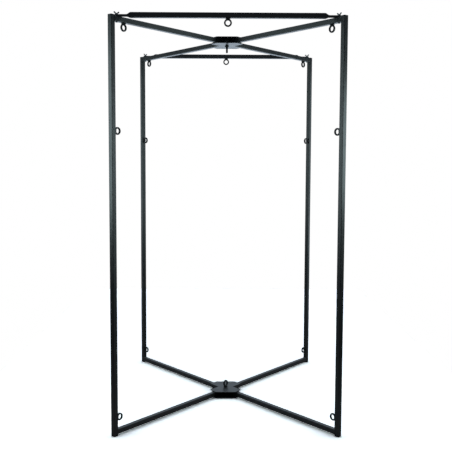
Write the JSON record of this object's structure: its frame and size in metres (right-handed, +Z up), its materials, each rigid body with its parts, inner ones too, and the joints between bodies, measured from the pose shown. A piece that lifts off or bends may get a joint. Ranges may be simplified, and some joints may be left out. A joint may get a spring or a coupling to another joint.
{
  "type": "free-standing tube frame",
  "caption": "Free-standing black steel tube frame with corner posts, crossed base and top arms meeting at hub plates, clamped top bars and eye bolts for hanging or tying.",
  "frame": {"origin": "centre of the footprint, on the floor", "axes": "+X to the right, +Y to the rear, +Z up; the camera of the picture looks along +Y"},
  "size_m": [1.1334, 1.4334, 2.0577],
  "materials": {
    "black_coat": "satin black powder coat",
    "eye_steel": "black oxide",
    "zinc_hardware": "bright zinc plate",
    "black_plastic": "moulded black plastic"
  },
  "bodies": {
    "frame": {"base_hub_lower_plate": "black_coat", "base_hub_upper_plate": "black_coat", "base_hub_sleeves": "black_coat", "top_hub_lower_plate": "black_coat", "top_hub_upper_plate": "black_coat", "top_hub_sleeves": "black_coat", "base_arm_front_left": "black_coat", "base_arm_front_right": "black_coat", "base_arm_rear_left": "black_coat", "base_arm_rear_right": "black_coat", "base_stub_front_left": "black_coat", "base_stub_front_right": "black_coat", "base_stub_rear_left": "black_coat", "base_stub_rear_right": "black_coat", "post_front_left": "black_coat", "post_front_right": "black_coat", "post_rear_left": "black_coat", "post_rear_right": "black_coat", "top_stub_front_left": "black_coat", "top_stub_front_right": "black_coat", "top_stub_rear_left": "black_coat", "top_stub_rear_right": "black_coat", "top_arm_front_left": "black_coat", "top_arm_front_right": "black_coat", "top_arm_rear_left": "black_coat", "top_arm_rear_right": "black_coat", "front_top_bar": "black_coat", "rear_top_bar": "black_coat", "base_spigots": "black_coat", "top_spigots": "black_coat", "foot_plugs": "black_plastic", "post_caps": "black_plastic", "clamp_bolts": "zinc_hardware", "washers": "zinc_hardware", "eye_front_bar": "eye_steel", "eye_rear_bar": "eye_steel", "eye_top_arm_front_left": "eye_steel", "eye_top_arm_front_right": "eye_steel", "eye_top_arm_rear_left": "eye_steel", "eye_top_arm_rear_right": "eye_steel", "eye_post_front_left": "eye_steel", "eye_post_front_right": "eye_steel", "eye_post_rear_left": "eye_steel", "eye_post_rear_right": "eye_steel", "eye_base_front_left": "eye_steel", "eye_base_front_right": "eye_steel", "eye_base_rear_left": "eye_steel", "eye_base_rear_right": "eye_steel", "eye_top_hub": "eye_steel", "eye_base_hub": "eye_steel", "thread_inserts": "zinc_hardware", "hub_nuts": "eye_steel"},
    "wing_nut_front_left": {"wing_nut_front_left": "zinc_hardware"},
    "wing_nut_front_right": {"wing_nut_front_right": "zinc_hardware"},
    "wing_nut_rear_left": {"wing_nut_rear_left": "zinc_hardware"},
    "wing_nut_rear_right": {"wing_nut_rear_right": "zinc_hardware"}
  },
  "joints": [
    {"name": "wing_nut_front_left_turn", "type": "hinge", "parent": "frame", "child": "wing_nut_front_left", "pos_m": [-0.52899, -0.67327, 2.0447], "axis": [0, 0, 1], "continuous": true},
    {"name": "wing_nut_front_right_turn", "type": "hinge", "parent": "frame", "child": "wing_nut_front_right", "pos_m": [0.52899, -0.67327, 2.0447], "axis": [0, 0, 1], "continuous": true},
    {"name": "wing_nut_rear_left_turn", "type": "hinge", "parent": "frame", "child": "wing_nut_rear_left", "pos_m": [-0.52899, 0.67327, 2.0447], "axis": [0, 0, 1], "continuous": true},
    {"name": "wing_nut_rear_right_turn", "type": "hinge", "parent": "frame", "child": "wing_nut_rear_right", "pos_m": [0.52899, 0.67327, 2.0447], "axis": [0, 0, 1], "continuous": true}
  ]
}
